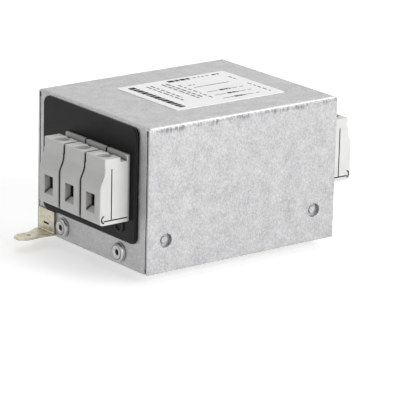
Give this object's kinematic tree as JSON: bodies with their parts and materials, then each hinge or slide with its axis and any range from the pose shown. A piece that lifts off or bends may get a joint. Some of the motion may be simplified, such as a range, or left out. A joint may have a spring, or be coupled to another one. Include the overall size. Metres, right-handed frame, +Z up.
{
  "type": "emi line filter",
  "caption": "Boxy line filter in a folded steel housing with black end panels, screw terminals at both ends, an earth tab and a spring clip for a 35 mm rail.",
  "frame": {"origin": "middle of the rail's seat: on the plane of the rail's upper flange faces, at mid-width and mid-length of the housing", "axes": "+X along the rail, -Y towards the supply-side terminals and the earth tab, +Z up, away from the rail"},
  "size_m": [0.062, 0.1045, 0.0528],
  "materials": {
    "housing_steel": "zinc-coated sheet with a fine mottle, satin",
    "base_steel": "zinc-coated sheet, satin",
    "black_moulding": "moulded, fine satin texture",
    "label_film": "printed film, smooth",
    "tab_metal": "tinned brass, dull",
    "rivet_metal": "satin",
    "spring_steel": "zinc-coated spring steel",
    "screw_steel": "zinc-plated",
    "grey_moulding": "moulded polyamide, smooth satin",
    "clamp_metal": "nickel-plated",
    "bar_copper": "tinned copper",
    "capacitor_case": "moulded case",
    "winding_copper": "enamelled wire, glossy",
    "board_laminate": "glass laminate with solder mask",
    "insulation_paper": "pressed insulating paper",
    "post_brass": "turned brass",
    "ferrite": "coated ring core",
    "natural_moulding": "moulded polyamide",
    "disc_coating": "dipped coating",
    "resistor_coating": "lacquered"
  },
  "bodies": {
    "root": {"cover": "housing_steel", "base_plate": "base_steel", "front_panel": "black_moulding", "rear_panel": "black_moulding", "label": "label_film", "earth_tab": "tab_metal", "front_rivets": "rivet_metal", "rear_rivets": "rivet_metal", "clip_rivets": "rivet_metal", "rail_clip": "spring_steel", "line_clamp_screws": "screw_steel", "load_clamp_screws": "screw_steel", "board_screws": "screw_steel", "line_terminal_1": "grey_moulding", "line_clamp_1": "clamp_metal", "line_bar_1": "bar_copper", "line_capacitor_1": "capacitor_case", "load_terminal_1": "grey_moulding", "load_clamp_1": "clamp_metal", "load_bar_1": "bar_copper", "load_capacitor_1": "capacitor_case", "choke_winding_1": "winding_copper", "line_terminal_2": "grey_moulding", "line_clamp_2": "clamp_metal", "line_bar_2": "bar_copper", "line_capacitor_2": "capacitor_case", "load_terminal_2": "grey_moulding", "load_clamp_2": "clamp_metal", "load_bar_2": "bar_copper", "load_capacitor_2": "capacitor_case", "choke_winding_2": "winding_copper", "line_terminal_3": "grey_moulding", "line_clamp_3": "clamp_metal", "line_bar_3": "bar_copper", "line_capacitor_3": "capacitor_case", "load_terminal_3": "grey_moulding", "load_clamp_3": "clamp_metal", "load_bar_3": "bar_copper", "load_capacitor_3": "capacitor_case", "choke_winding_3": "winding_copper", "circuit_board": "board_laminate", "insulating_sheet": "insulation_paper", "board_standoffs": "post_brass", "choke_core": "ferrite", "choke_base": "natural_moulding", "earth_capacitors": "disc_coating", "discharge_resistors": "resistor_coating"}
  },
  "joints": []
}
